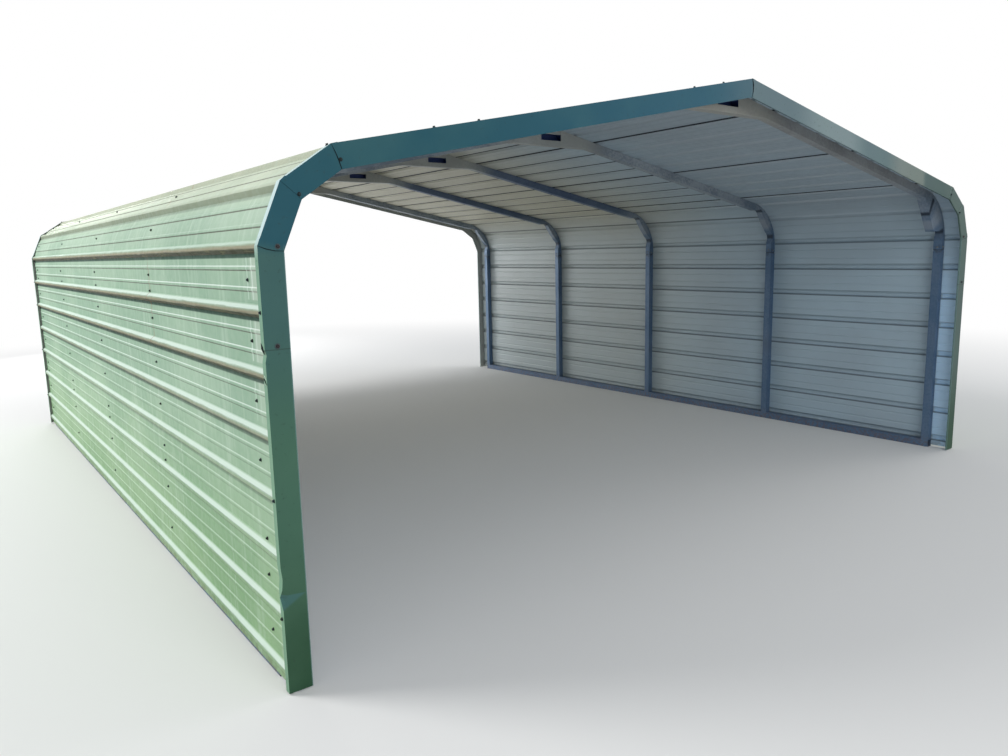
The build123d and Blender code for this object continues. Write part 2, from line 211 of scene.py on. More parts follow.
def paintedSheet():
    # Coil-coated steel, polyester paint over zinc: sage green and chalking outside, off-white
    # backer inside. The eye reads pale rib crests (painted highlight over chalking), dirt and a painted
    # shadow under them, and rain marks down the flats; painted light and shade also mark the inside.
    material, tree = newTree("coil_coated_steel_sheet")
    place, outside, run = shellPlace(tree)
    parts = addNode(tree, "ShaderNodeSeparateXYZ", {}, {0: place})

    # distance below the nearest major rib, and below the nearest third of the pitch, in metres
    steps = addNode(tree, "ShaderNodeMath", {"operation": "MULTIPLY_ADD"},
                    {0: run, 1: -1 / ribPitch, 2: ridgeRun / ribPitch})[0]
    belowRib = {}
    for name, parted in (("major", 1), ("minor", 3)):
        count = addNode(tree, "ShaderNodeMath", {"operation": "MULTIPLY"}, {0: steps, 1: parted})[0]
        nearest = addNode(tree, "ShaderNodeMath", {"operation": "ROUND"}, {0: count})[0]
        left = addNode(tree, "ShaderNodeMath", {"operation": "SUBTRACT"}, {0: count, 1: nearest})[0]
        belowRib[name] = addNode(tree, "ShaderNodeMath", {"operation": "MULTIPLY"},
                                 {0: left, 1: ribPitch / parted})[0]
    below, belowMinor = belowRib["major"], belowRib["minor"]
    offRib = addNode(tree, "ShaderNodeMath", {"operation": "ABSOLUTE"}, {0: below})[0]

    # sheets lap at every fourth rib, the first of them two below the ridge
    whole = addNode(tree, "ShaderNodeMath", {"operation": "ROUND"}, {0: steps})[0]
    turnOfFour = addNode(tree, "ShaderNodeMath", {"operation": "MODULO"}, {0: whole, 1: 4.0})[0]

    # rain marks run down the sheet, 10 to 40 mm wide and some tens of centimetres long
    flow = addNode(tree, "ShaderNodeCombineXYZ", {}, {0: parts["Y"], 1: run, 2: parts["X"]})[0]
    rainPlace = addNode(tree, "ShaderNodeMapping", {}, {"Vector": flow, "Scale": sheetPaint["rain"]})[0]
    rain = addNode(tree, "ShaderNodeTexNoise", {}, {"Vector": rainPlace, "Scale": 1.0, "Detail": 3.0})[0]
    cloud = addNode(tree, "ShaderNodeTexNoise", {},
                    {"Vector": place, "Scale": sheetPaint["cloud"], "Detail": 3.0})[0]
    blotch = addNode(tree, "ShaderNodeTexNoise", {},
                     {"Vector": place, "Scale": sheetPaint["blotch"], "Detail": 5.0})[0]
    ribPlace = addNode(tree, "ShaderNodeMapping", {}, {"Vector": flow, "Scale": sheetPaint["ribStain"]})[0]
    ribStain = addNode(tree, "ShaderNodeTexNoise", {}, {"Vector": ribPlace, "Scale": 1.0, "Detail": 4.0})[0]
    stainedBelow = addNode(tree, "ShaderNodeMath", {"operation": "MULTIPLY_ADD"},
                           {0: ribStain, 1: sheetPaint["stainReach"], 2: below})[0]
    streaks = []
    for bow, behind in sheetPaint["streaks"]:
        off = addNode(tree, "ShaderNodeMath", {"operation": "SUBTRACT"},
                      {0: parts["Y"], 1: bowPlaces[bow] + behind})[0]
        streaks.append(addNode(tree, "ShaderNodeMath", {"operation": "ABSOLUTE"}, {0: off})[0])
    fromRun, fromScrew, fromRust = streaks
    fromRun = addNode(tree, "ShaderNodeMath", {"operation": "MINIMUM"}, {0: fromRun, 1: fromScrew})[0]
    runPatch = addNode(tree, "ShaderNodeTexNoise", {"noise_dimensions": "1D"},
                       {"W": run, "Scale": sheetPaint["runPatch"], "Detail": 2.0})[0]

    bands = {
        # a major rib outside: its pale crest, a painted highlight over chalked paint; its stained top;
        # dirt on its lower flank, and a dark green painted shadow cast on the flat under it; thin darker
        # lines along the edges of its top on the low ribs
        "crestFrom": (below, -0.024, -0.018, 0, 0.85), "crestTo": (stainedBelow, -0.006, 0.003, 1, 0),
        "topFlatFrom": (stainedBelow, -0.006, 0.009, 0, 1), "ribEnd": (below, 0.022, 0.025, 1, 0),
        "flankFrom": (stainedBelow, 0.010, 0.018, 0, 1), "underEnd": (below, 0.026, 0.040, 1, 0),
        "ribShadowFrom": (below, 0.022, 0.026, 0, 0.95), "ribShadowTo": (below, 0.036, 0.042, 1, 0),
        "edgeFrom": (below, -0.0100, -0.0085, 0, 0.6), "edgeTo": (below, -0.0070, -0.0055, 1, 0),
        "footFrom": (below, 0.0070, 0.0085, 0, 0.8), "footTo": (below, 0.0120, 0.0140, 1, 0),
        "mottling": (ribStain, 0.50, 0.62, 0, 0.6),
        # a minor rib outside, pale above and dark below: a painted highlight and painted shade
        "paleFrom": (belowMinor, -0.0108, -0.0090, 0, 1), "paleTo": (belowMinor, -0.0066, -0.0046, 1, 0),
        "darkFrom": (belowMinor, 0.0045, 0.0070, 0, 1), "darkTo": (belowMinor, 0.0090, 0.0115, 1, 0),
        "flat": (offRib, 0.036, 0.040, 0, 1),
        # how strong each of them is on the wall, the bend and the roof
        "lowRibs": (run, 0.6, 1.2, 1, 0), "high": (run, 0.5, 1.35, 0.1, 0.95),
        "crestLow": (run, 1.55, 1.66, 1, 0.55), "belowBend": (run, 1.66, 1.72, 1, 0.12),
        "offBend": (run, 1.74, 1.84, 1, 0.3), "offRoof": (run, 1.9, 2.3, 1, 0.2),
        "paleHigh": (run, 0.7, 1.35, 0.3, 0.65), "darkHigh": (run, 0.7, 1.4, 0.3, 0.9),
        # the base colour up the shell, painted green light from the grass on the low wall, and weather
        # over it
        "grassLight": (parts["Z"], 0.1, 1.2, 0.8, 0), "onRoof": (run, 1.75, 2.4, 0, 1),
        "lowFromBend": (run, 1.69, 1.73, 0, 0.3), "lowToBend": (run, 1.80, 1.90, 1, 0),
        "topBend": (run, 1.82, 1.95, 0, 0.4), "topToRoof": (run, 2.3, 2.6, 1, 0.3),
        "faded": (cloud, 0.35, 0.65, 0, 0.2), "damp": (cloud, 0.40, 0.58, 0.2, 0),
        "washed": (rain, 0.50, 0.74, 0, 0.32), "runsHigh": (run, 0.9, 1.3, 0, 1),
        "whiteRun": (fromRun, 0.001, 0.010, 1, 0), "whitePatch": (rain, 0.32, 0.52, 0.15, 0.5),
        "rustRun": (fromRust, 0.003, 0.010, 1, 0), "rustPatch": (runPatch, 0.42, 0.56, 0, 0.5),
        "runsFrom": (parts["Y"], -3.060, -3.030, 0.34, 0),
        "soiled": (parts["Z"], 0.0, 0.10, 0.5, 0), "blotched": (blotch, 0.38, 0.62, 0, 1),
        # painted shade inside: dark lines in the rib grooves of the wall, in the slits of the laps, and
        # along each rib overhead past the second bow
        "topFrom": (below, -0.027, -0.024, 0, 0.4), "topTo": (below, -0.021, -0.018, 1, 0),
        "lowFrom": (below, 0.012, 0.020, 0, 0.65), "lowTo": (below, 0.026, 0.029, 1, 0),
        "lapFrom": (below, -0.052, -0.048, 0, 1), "lapTo": (below, -0.024, -0.020, 1, 0),
        "lapRise": (turnOfFour, 1.4, 1.6, 0, 1), "lapFall": (turnOfFour, 2.4, 2.6, 1, 0),
        "lapDark": (run, 1.9, 2.3, 0, 0.95), "onWall": (run, 1.60, 1.75, 1, 0.15),
        "grooveShadeFrom": (below, -0.043, -0.040, 0, 1), "grooveShadeTo": (below, -0.026, -0.023, 1, 0),
        "pastSecond": (parts["Y"], -1.65, -1.35, 0, 1),
        # inside: random dust; painted shade overhead in the near bays, painted warm light high in the
        # far bays, painted sky light on the strip beside the front leg, and painted light in the near
        # grooves overhead
        "groove": (offRib, 0.018, 0.030, 0.38, 0), "overhead": (run, 1.7, 2.1, 0, 1),
        "nearBays": (parts["Y"], -1.7, -0.3, 1, 0), "farBays": (parts["Y"], -1.7, 0.6, 0, 1),
        "nearDim": (parts["Y"], -2.2, -1.0, 0.4, 0), "higher": (run, 1.6, 2.4, 0.3, 0.85),
        "besideLeg": (parts["Y"], -3.06, -3.03, 0.9, 0), "belowEave": (parts["Z"], 1.1, 1.7, 1, 0.2),
        "rough": (blotch, 0.3, 0.7, sheetPaint["rough"], sheetPaint["roughest"]),
    }
    products = {
        "crest": ("crestFrom", "crestTo", "offBend", "crestLow"),
        "ribTop": ("topFlatFrom", "ribEnd", "high", "offBend", "offRoof"),
        "under": ("flankFrom", "underEnd", "high", "offBend", "offRoof"),
        "ribShadow": ("ribShadowFrom", "ribShadowTo", "high", "offBend", "offRoof"),
        "mottled": ("flankFrom", "underEnd", "high", "offBend", "offRoof", "blotched", "mottling"),
        "ribEdge": ("edgeFrom", "edgeTo", "lowRibs"), "ribFoot": ("footFrom", "footTo", "lowRibs"),
        "minorPale": ("paleFrom", "paleTo", "flat", "paleHigh", "belowBend"),
        "minorDark": ("darkFrom", "darkTo", "flat", "darkHigh", "offRoof"),
        "lowBend": ("lowFromBend", "lowToBend"), "highBend": ("topBend", "topToRoof"),
        "whiteRun": ("whiteRun", "whitePatch", "flat", "runsHigh", "belowBend"),
        "rustRun": ("rustRun", "rustPatch", "runsHigh"),
        "bleachedAndLit": ("runsFrom", "runsHigh", "belowBend", "flat"), "soil": ("soiled", "blotched"),
        "innerTop": ("topFrom", "topTo", "onWall"), "innerLow": ("lowFrom", "lowTo", "onWall"),
        "lap": ("lapFrom", "lapTo", "lapRise", "lapFall", "lapDark"),
        "grooveShade": ("grooveShadeFrom", "grooveShadeTo", "overhead", "pastSecond"),
        "grooveLift": ("groove", "overhead", "nearBays"), "warmed": ("farBays", "higher"),
        "dimmed": ("nearDim", "overhead"), "skyLit": ("besideLeg", "belowEave"),
    }
    shares = makeShares(tree, bands, products)
    outer = layColours(tree, shares, sheetPaint, hexColour(sheetPaint["wall"]), (
        ("onRoof", "roof"), ("lowBend", "lowBend"), ("highBend", "highBend"), ("grassLight", "grassLight"),
        ("damp", "damp"), ("faded", "wash"), ("washed", "wash"), ("minorPale", "chalkAndHighlight"),
        ("minorDark", "ribDirtAndShade"), ("crest", "crest"), ("ribTop", "ribTop"), ("under", "ribDirtAndShade"),
        ("mottled", "mottle"), ("ribShadow", "ribShadow"), ("ribEdge", "ribEdge"),
        ("ribFoot", "ribDirtAndShade"), ("bleachedAndLit", "bleachedAndLit"), ("whiteRun", "chalkAndHighlight"), ("rustRun", "rust"),
    ))
    # the inside's layers bring random dust, and painted light and shade from bay to bay, beside the front
    # leg, in the grooves and at the laps
    inner = layColours(tree, shares, sheetPaint, hexColour(sheetPaint["inside"]), (
        ("faded", "dustAndShade"), ("warmed", "warm"), ("dimmed", "dustAndShade"), ("skyLit", "blue"),
        ("grooveLift", "lifted"), ("grooveShade", "innerLine"), ("innerTop", "innerLine"),
        ("innerLow", "innerLine"), ("lap", "lapLine"),
    ))
    colour = addNode(tree, "ShaderNodeMix", {"data_type": "RGBA"}, {0: outside, 6: inner, 7: outer})[2]
    colour = layColours(tree, shares, sheetPaint, colour, (("soil", "soil"),))

    # thin sheet pulled between its screws is never quite flat
    wavePlace = addNode(tree, "ShaderNodeMapping", {}, {"Vector": flow, "Scale": sheetPaint["wave"]})[0]
    wave = addNode(tree, "ShaderNodeTexNoise", {}, {"Vector": wavePlace, "Scale": 1.0, "Detail": 1.0})[0]
    bump = addNode(tree, "ShaderNodeBump", {}, {"Height": wave, "Strength": 0.5, "Distance": 0.010})[0]
    bump = addNode(tree, "ShaderNodeBump", {},
                   {"Height": blotch, "Strength": 0.25, "Distance": 0.0006, "Normal": bump})[0]

    # the grime and the painted shadow under the ribs outside, and the painted shade in the grooves
    # and laps inside, hardly shine
    grimeAndShadow = addNode(tree, "ShaderNodeMath", {"operation": "MAXIMUM"},
                    {0: shares["under"], 1: shares["ribShadow"]})[0]
    dark = addNode(tree, "ShaderNodeMath", {"operation": "MAXIMUM"},
                   {0: shares["grooveShade"], 1: shares["lap"]})[0]
    dull = addNode(tree, "ShaderNodeMix", {}, {0: outside, 2: dark, 3: grimeAndShadow})[0]
    gloss = addNode(tree, "ShaderNodeMix", {},
                    {0: dull, 2: sheetPaint["gloss"], 3: sheetPaint["grimeAndShadowGloss"]})[0]
    surface = addNode(tree, "ShaderNodeBsdfPrincipled", {},
                      {"Base Color": colour, "Roughness": shares["rough"], "Normal": bump,
                       "Specular IOR Level": gloss})
    addNode(tree, "ShaderNodeOutputMaterial", {}, {"Surface": surface[0]})
    return material


trimPaint = {
    # the right rake's greys and the pale, dull and facet colours are painted reflection; the hem colour is
    # a painted highlight, and the chalk and bleached colours also paint light on the returns
    "rake": "#1D4F5B", "peak": "#26576A", "rightPeak": "#5F747A", "rightLow": "#4F635E",
    "legTop": "#385C5A", "leg": "#416654", "foot": "#21452C", "facet": "#3E6A78",
    "pale": "#A9B8B6", "dustAndShade": "#A3A595", "dull": "#34514F", "chalkAndHighlight": "#86AF91",
    "hemHighlight": "#7E9C9B", "bleachedAndLit": "#D3E6EA", "back": "#A8ABA6", "grimeAndShadow": "#28322E",
    "rough": 0.42, "roughest": 0.58, "gloss": 0.2,
    "cloud": 3.0, "speck": 55.0, "wave": 4.0,  # cells per metre
}
# The triangle beside the crushed corner, painted on as a reflection where the face would be
# creased: how steeply its upper and lower edge cross the face, and the heights between which
# each edge's line fades in where X is 0
facet = {
    "topSlope": 0.0947, "topFade": (0.1365, 0.1375),
    "footSlope": -0.558, "footFade": (1.8765, 1.8925),
}


def paintedTrim():
    # Coil-coated steel flashing: darker teal green, paler where its return faces out (chalk and
    # painted light), bare backer behind; painted reflection on the right rake and the creased
    # triangle, and a painted highlight along the hem
    material, tree = newTree("coil_coated_steel_trim")
    place, outside, run = shellPlace(tree)
    parts = addNode(tree, "ShaderNodeSeparateXYZ", {}, {0: place})
    normal = addNode(tree, "ShaderNodeNewGeometry", {}, {})["Normal"]
    side = addNode(tree, "ShaderNodeVectorMath", {"operation": "SIGN"}, {0: place})[0]
    faceOn = addNode(tree, "ShaderNodeVectorMath", {"operation": "MULTIPLY"}, {0: normal, 1: side})[0]
    faceOn = addNode(tree, "ShaderNodeSeparateXYZ", {}, {0: faceOn})["Y"]
    cloud = addNode(tree, "ShaderNodeTexNoise", {},
                    {"Vector": place, "Scale": trimPaint["cloud"], "Detail": 4.0})[0]
    speck = addNode(tree, "ShaderNodeTexNoise", {},
                    {"Vector": place, "Scale": trimPaint["speck"], "Detail": 6.0})[0]
    fromSplice = addNode(tree, "ShaderNodeMath", {"operation": "SUBTRACT"},
                         {0: spliceHeight, 1: parts["Z"]})[0]
    fromSplice = addNode(tree, "ShaderNodeMath", {"operation": "ABSOLUTE"}, {0: fromSplice})[0]
    fromInner = addNode(tree, "ShaderNodeMath", {"operation": "ABSOLUTE"}, {0: parts["X"]})[0]
    fromInner = addNode(tree, "ShaderNodeMath", {"operation": "SUBTRACT"}, {0: fromInner, 1: trimInner})[0]
    underTop = addNode(tree, "ShaderNodeVectorMath", {"operation": "DOT_PRODUCT"},
                       {0: place, 1: (facet["topSlope"], 0, 1)})["Value"]
    overFoot = addNode(tree, "ShaderNodeVectorMath", {"operation": "DOT_PRODUCT"},
                       {0: place, 1: (facet["footSlope"], 0, 1)})["Value"]
    bands = {
        # along the rakes and down the legs; the greyer right rake and the grey beside the peak are
        # painted reflection
        "towardPeak": (parts["X"], -2.4, -0.2, 0, 1), "pastPeak": (parts["X"], -0.02, 0.02, 0, 1),
        "leftHalf": (parts["X"], -0.02, 0.02, 1, 0), "rightLow": (parts["X"], 1.2, 2.5, 0, 1),
        "greyed": (parts["X"], -0.35, -0.02, 0, 0.35), "sloped": (run, 1.62, 1.72, 0, 1),
        "onLeg": (run, 1.64, 1.70, 1, 0), "lowLeg": (parts["Z"], 0.90, 1.50, 1, 0),
        "foot": (parts["Z"], 0.1, 0.8, 0.85, 0),
        # the right rake: a pale painted reflection of the sky, a dusty patch, and a dull painted
        # reflection of trees
        "paleFrom": (parts["X"], 0.35, 0.75, 0, 0.3), "paleTo": (parts["X"], 1.00, 1.25, 1, 0),
        "dustFrom": (parts["X"], 1.45, 1.70, 0, 0.3), "dustTo": (parts["X"], 1.98, 2.04, 1, 0),
        "treeReflectionFrom": (parts["X"], 1.99, 2.06, 0, 0.45), "treeReflectionTo": (parts["X"], 2.30, 2.50, 1, 0),
        # the painted reflection on the creased triangle, the line of the lap, a painted highlight along
        # the hem, and the faces turned out and back; the faces turned out are paler, chalked paint with
        # painted light on them, most where the return faces up on the slopes
        "belowTop": (underTop, *facet["topFade"], 0.38, 0), "atFront": (parts["Y"], -0.1, 0.1, 1, 0),
        "aboveFoot": (overFoot, *facet["footFade"], 0, 1),
        "spliceLine": (fromSplice, 0.0008, 0.0030, 0.5, 0), "hemHighlight": (fromInner, 0.001, 0.005, 0.5, 0),
        "edgeOn": (faceOn, 0.2, 0.4, 0.7, 0), "back": (faceOn, -0.4, -0.2, 1, 0),
        "clouded": (cloud, 0.40, 0.75, 0, 0.06), "specks": (speck, 0.60, 0.75, 0, 0.35),
        "rough": (cloud, 0.0, 1.0, trimPaint["rough"], trimPaint["roughest"]),
    }
    products = {
        "leftLeg": ("onLeg", "leftHalf"), "leftFoot": ("lowLeg", "leftHalf"), "legHemHighlight": ("hemHighlight", "onLeg"),
        "greyPeak": ("greyed", "leftHalf"), "facet": ("belowTop", "aboveFoot", "atFront", "leftHalf"),
        "skyReflection": ("paleFrom", "paleTo"), "dustPatch": ("dustFrom", "dustTo"),
        "treeReflection": ("treeReflectionFrom", "treeReflectionTo"),
    }
    shares = makeShares(tree, bands, products)
    shares["onReturn"] = addNode(tree, "ShaderNodeMath", {"operation": "MULTIPLY"},
                                 {0: shares["edgeOn"], 1: outside})[0]
    shares["onSlope"] = addNode(tree, "ShaderNodeMath", {"operation": "MULTIPLY"},
                                {0: shares["onReturn"], 1: shares["sloped"]})[0]
    # painted reflection, a painted highlight and painted light on the returns are laid among these
    colour = layColours(tree, shares, trimPaint, hexColour(trimPaint["rake"]), (
        ("towardPeak", "peak"), ("pastPeak", "rightPeak"), ("greyPeak", "rightPeak"),
        ("rightLow", "rightLow"), ("skyReflection", "pale"), ("dustPatch", "dustAndShade"), ("treeReflection", "dull"),
        ("leftLeg", "legTop"), ("leftFoot", "leg"), ("foot", "foot"), ("facet", "facet"),
        ("clouded", "chalkAndHighlight"), ("legHemHighlight", "hemHighlight"), ("onReturn", "chalkAndHighlight"), ("onSlope", "bleachedAndLit"),
        ("back", "back"), ("specks", "grimeAndShadow"), ("spliceLine", "grimeAndShadow"),
    ))
    wave = addNode(tree, "ShaderNodeTexNoise", {},
                   {"Vector": place, "Scale": trimPaint["wave"], "Detail": 1.0})[0]
    bump = addNode(tree, "ShaderNodeBump", {}, {"Height": wave, "Strength": 0.5, "Distance": 0.005})[0]
    surface = addNode(tree, "ShaderNodeBsdfPrincipled", {},
                      {"Base Color": colour, "Roughness": shares["rough"], "Normal": bump,
                       "Specular IOR Level": trimPaint["gloss"]})
    addNode(tree, "ShaderNodeOutputMaterial", {}, {"Surface": surface[0]})
    return material


zinc = {
    # some of these are painted light and shade: the warm front and pale peak of the rafters, the crease and
    # the hollow
    "light": "#A3ABB2", "dark": "#7A858F", "upright": "#3F6183", "darkerRightRafters": "#42587A",
    "groundLight": "#A39A8E", "peakLight": "#BAB8AC", "stain": "#474D52", "rust": "#75543C",
    "foldShade": "#1C2735", "gap": "#181A1C", "hollowShade": "#223C78",
    "spangle": 0.014, "spangleShare": 0.16,  # its size, and how much it alters the grey
    "cloud": 3.0, "fine": 45.0,  # cells per metre
    "foldTurn": 0.3,  # how far each fold of a bend is off its middle, as a share of its turn
}


def galvanisedTube():
    # Hot-dip galvanised steel: blue-grey, each spangle of zinc a slightly different grey
    material, tree = newTree("galvanised_steel_tube")
    place = addNode(tree, "ShaderNodeTexCoord", {}, {})["Object"]
    parts = addNode(tree, "ShaderNodeSeparateXYZ", {}, {0: place})
    cells = addNode(tree, "ShaderNodeTexVoronoi", {}, {"Vector": place, "Scale": 1 / zinc["spangle"]})
    cell = addNode(tree, "ShaderNodeSeparateColor", {}, {0: cells["Color"]})[0]
    cloud = addNode(tree, "ShaderNodeTexNoise", {},
                    {"Vector": place, "Scale": zinc["cloud"], "Detail": 3.0})[0]
    fine = addNode(tree, "ShaderNodeTexNoise", {},
                   {"Vector": place, "Scale": zinc["fine"], "Detail": 6.0})[0]
    share = addNode(tree, "ShaderNodeMath", {"operation": "MULTIPLY_ADD"},
                    {0: cell, 1: zinc["spangleShare"], 2: cloud})[0]
    fromJoint = addNode(tree, "ShaderNodeMath", {"operation": "SUBTRACT"},
                        {0: parts["Z"], 1: jointHeight})[0]
    fromJoint = addNode(tree, "ShaderNodeMath", {"operation": "ABSOLUTE"}, {0: fromJoint})[0]

    # the bend is pressed in at two places on its inside; painted shade darkens those folds and a
    # painted highlight lightens the bend between them
    spread = addNode(tree, "ShaderNodeVectorMath", {"operation": "ABSOLUTE"}, {0: place})[0]
    past = addNode(tree, "ShaderNodeVectorMath", {"operation": "SUBTRACT"},
                   {0: spread, 1: (bendCentre, 0, bendStart)})[0]
    past = addNode(tree, "ShaderNodeVectorMath", {"operation": "MULTIPLY"}, {0: past, 1: (1, 0, 1)})[0]
    reach = addNode(tree, "ShaderNodeVectorMath", {"operation": "LENGTH"}, {0: past})["Value"]
    past = addNode(tree, "ShaderNodeSeparateXYZ", {}, {0: past})
    turn = addNode(tree, "ShaderNodeMath", {"operation": "ARCTAN2"}, {0: past["Z"], 1: past["X"]})[0]
    fromMiddle = addNode(tree, "ShaderNodeMath", {"operation": "SUBTRACT"}, {0: turn, 1: 0.5 * bendTurn})[0]
    fromMiddle = addNode(tree, "ShaderNodeMath", {"operation": "ABSOLUTE"}, {0: fromMiddle})[0]
    fromFold = addNode(tree, "ShaderNodeMath", {"operation": "SUBTRACT"},
                       {0: fromMiddle, 1: zinc["foldTurn"] * bendTurn})[0]
    fromFold = addNode(tree, "ShaderNodeMath", {"operation": "ABSOLUTE"}, {0: fromFold})[0]

    # how far behind its bow's middle a point is, for the painted shade in the hollow behind each
    # notched brace
    bowGap = bowPlaces[3] - bowPlaces[2]
    bays = addNode(tree, "ShaderNodeMath", {"operation": "DIVIDE"}, {0: parts["Y"], 1: bowGap})[0]
    nearest = addNode(tree, "ShaderNodeMath", {"operation": "ROUND"}, {0: bays})[0]
    fromBow = addNode(tree, "ShaderNodeMath", {"operation": "MULTIPLY_ADD"},
                      {0: nearest, 1: -bowGap, 2: parts["Y"]})[0]
    across = addNode(tree, "ShaderNodeSeparateXYZ", {}, {0: spread})["X"]
    webTop = ridgeHeight - tubeSize / math.cos(pitch) - braceHalf * math.tan(pitch)
    bands = {
        # painted shade in the folds and the hollows, and a painted highlight on the bend
        "foldShade": (fromFold, 0.015, 0.085, 0.9, 0), "highlight": (fromMiddle, 0.10, 0.26, 0.45, 0),
        "inside": (reach, bendRadius - 0.034, bendRadius - 0.014, 1, 0),
        "behind": (fromBow, -0.026, -0.022, 0, 1), "hollowWide": (across, 0.12, 0.20, 0.95, 0),
        "hollowHigh": (parts["Z"], webTop - 0.0012, webTop - 0.0006, 0, 1),
        # uprights, and rafters from front to rear: painted light from the ground on the front rafters,
        # painted light near the peak, and darker and bluer on the right rafters of the middle bays
        "upright": (parts["Z"], 1.6, 2.2, 0.8, 0), "rafter": (parts["Z"], 1.95, 2.10, 0, 1),
        "nearPeak": (across, 0.25, 0.65, 0.55, 0), "offPeak": (parts["X"], 0.35, 0.75, 0, 1),
        "atFront": (parts["Y"], -2.9, -2.2, 0.4, 0),
        "midFrom": (parts["Y"], -0.9, -0.3, 0, 0.75), "midTo": (parts["Y"], 2.0, 2.8, 1, 0),
        # spangle, stains, and wear at the foot and the swaged joint
        "light": (share, 0.38, 0.78, 0, 1), "stained": (cloud, 0.58, 0.78, 0, 0.35),
        "low": (parts["Z"], 0.0, 0.12, 0.45, 0), "fine": (fine, 0.42, 0.60, 0, 1),
        "scuff": (fromJoint, 0.004, 0.05, 0.7, 0), "gap": (fromJoint, 0.0012, 0.0030, 0.9, 0),
        "rough": (share, 0.3, 0.9, 0.60, 0.45),
    }
    products = {
        "rusted": ("low", "fine"), "scuffed": ("scuff", "fine"), "foldShaded": ("foldShade", "inside"),
        "shining": ("highlight", "inside"), "hollowShade": ("behind", "hollowWide", "hollowHigh"),
        "darkerRightRafters": ("rafter", "offPeak", "midFrom", "midTo"), "peakLight": ("rafter", "nearPeak"),
        "groundLight": ("rafter", "atFront"),
    }
    shares = makeShares(tree, bands, products)
    colour = layColours(tree, shares, zinc, hexColour(zinc["dark"]), (
        ("light", "light"), ("upright", "upright"), ("stained", "stain"), ("rusted", "rust"),
        ("darkerRightRafters", "darkerRightRafters"), ("groundLight", "groundLight"), ("peakLight", "peakLight"),
        ("shining", "light"), ("foldShaded", "foldShade"), ("scuffed", "stain"), ("gap", "gap"),
        ("hollowShade", "hollowShade"),
    ))
    bump = addNode(tree, "ShaderNodeBump", {}, {"Height": fine, "Strength": 0.25, "Distance": 0.0006})[0]
    surface = addNode(tree, "ShaderNodeBsdfPrincipled", {},
                      {"Base Color": colour, "Metallic": 0.4, "Roughness": shares["rough"], "Normal": bump})
    addNode(tree, "ShaderNodeOutputMaterial", {}, {"Surface": surface[0]})
    return material


def screwSteel(name, clean, rusted, share):
    # Painted or plated hexagon heads, the finish gone to rust here and there
    material, tree = newTree(name)
    place = addNode(tree, "ShaderNodeTexCoord", {}, {})["Object"]
    spots = addNode(tree, "ShaderNodeTexNoise", {}, {"Vector": place, "Scale": 3.0, "Detail": 8.0})[0]
    bands = {
        "rusted": (spots, 0.62 - share / 2, 0.72 - share / 2, 0, 1),
        "rough": (spots, 0.4, 0.7, 0.45, 0.8),
    }
    shares = makeShares(tree, bands, {})
    colour = layColours(tree, shares, {"rust": rusted}, hexColour(clean), (("rusted", "rust"),))
    surface = addNode(tree, "ShaderNodeBsdfPrincipled", {},
                      {"Base Color": colour, "Roughness": shares["rough"], "Specular IOR Level": 0.2})
    addNode(tree, "ShaderNodeOutputMaterial", {}, {"Surface": surface[0]})
    return material


def gapShade():
    # Near-black paint standing for the shade in a slit between two layers of metal, and in torn holes
    material, tree = newTree("dark_slit_between_laps")
    surface = addNode(tree, "ShaderNodeBsdfPrincipled", {},
                      {"Base Color": hexColour("#14191B"), "Roughness": 0.9, "Specular IOR Level": 0.1})
    addNode(tree, "ShaderNodeOutputMaterial", {}, {"Surface": surface[0]})
    return material


materials = {
    "sheet": paintedSheet(),
    "trim": paintedTrim(),
    "tube": galvanisedTube(),
    "screw": screwSteel("painted_screw_head", "#1E2F32", "#262D2C", 0.2),
    "rustyScrew": screwSteel("rusted_screw_head", "#2B2628", "#332827", 0.3),
    "rustyWasher": screwSteel("rust_stained_washer", "#465254", "#4A4A4C", 0.3),
    "plain": screwSteel("zinc_plated_screw_head", "#6E7478", "#5A4A40", 0.1),
    "bareAndLit": screwSteel("bared_and_lit_steel_edge", "#C3D0BE", "#A5A58A", 0.3),
    "washer": screwSteel("rubber_washer", "#1F2224", "#2C2926", 0.2),
    "gap": gapShade(),
}
for name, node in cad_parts.items():
    if "sheet" in name:
        finish = "sheet"
    elif "trim" in name:
        finish = "trim"
    else:
        finish = "tube"
    node.data.materials.clear()
    node.data.materials.append(materials[finish])
print("materials made")


def keep(bm, name, finishes):
    # a finished bmesh becomes a piece of the carport
    mesh = bpy.data.meshes.new(name)
    bm.to_mesh(mesh)
    bm.free()
    for finish in finishes:
        mesh.materials.append(materials[finish])
    piece = bpy.data.objects.new(name, mesh)
    bpy.context.scene.collection.objects.link(piece)
    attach(piece, "root")
    return piece


def stamp(pattern, places):
    # one bmesh with a copy of the pattern at each place
    bm = bmesh.new()
    for place in places:
        copy = pattern.copy()
        copy.transform(place)
        bm.from_mesh(copy)
        bpy.data.meshes.remove(copy)
    return bm


# Self-drilling screws
screw = {
    "washer": 0.0078, "washerTall": 0.0020, "washerTaper": 0.85,
    "head": 0.0052, "headTall": 0.0050, "headTaper": 0.94, "round": 0.0007,
    "slip": 0.005,  # how far a screw strays from its line
    "lean": 5,  # degrees off square
    "sheetLift": 0.0013,
    "lapAbove": 0.034,  # lap screws, above their rib
    "frontLap": 18,  # the only lap with a screw at the front bow
    "frontBare": (11, 12, 17),  # ribs with no screw below them at the front bow
    "trimEdge": 0.016,  # screws through the trim's return, in from the end of the sheet
    "trimLift": 0.0230,
    "returnRibs": (1, 2, 8, 9, 11, 14, 15, 17, 19),
    "tornOut": 15,  # the rib whose screw the front left return has lost
    "rustSpread": 1.35,  # how far rust has crept out round the rusted ones
    "jointRise": 0.022,  # screws into the swaged legs, above the joint
}


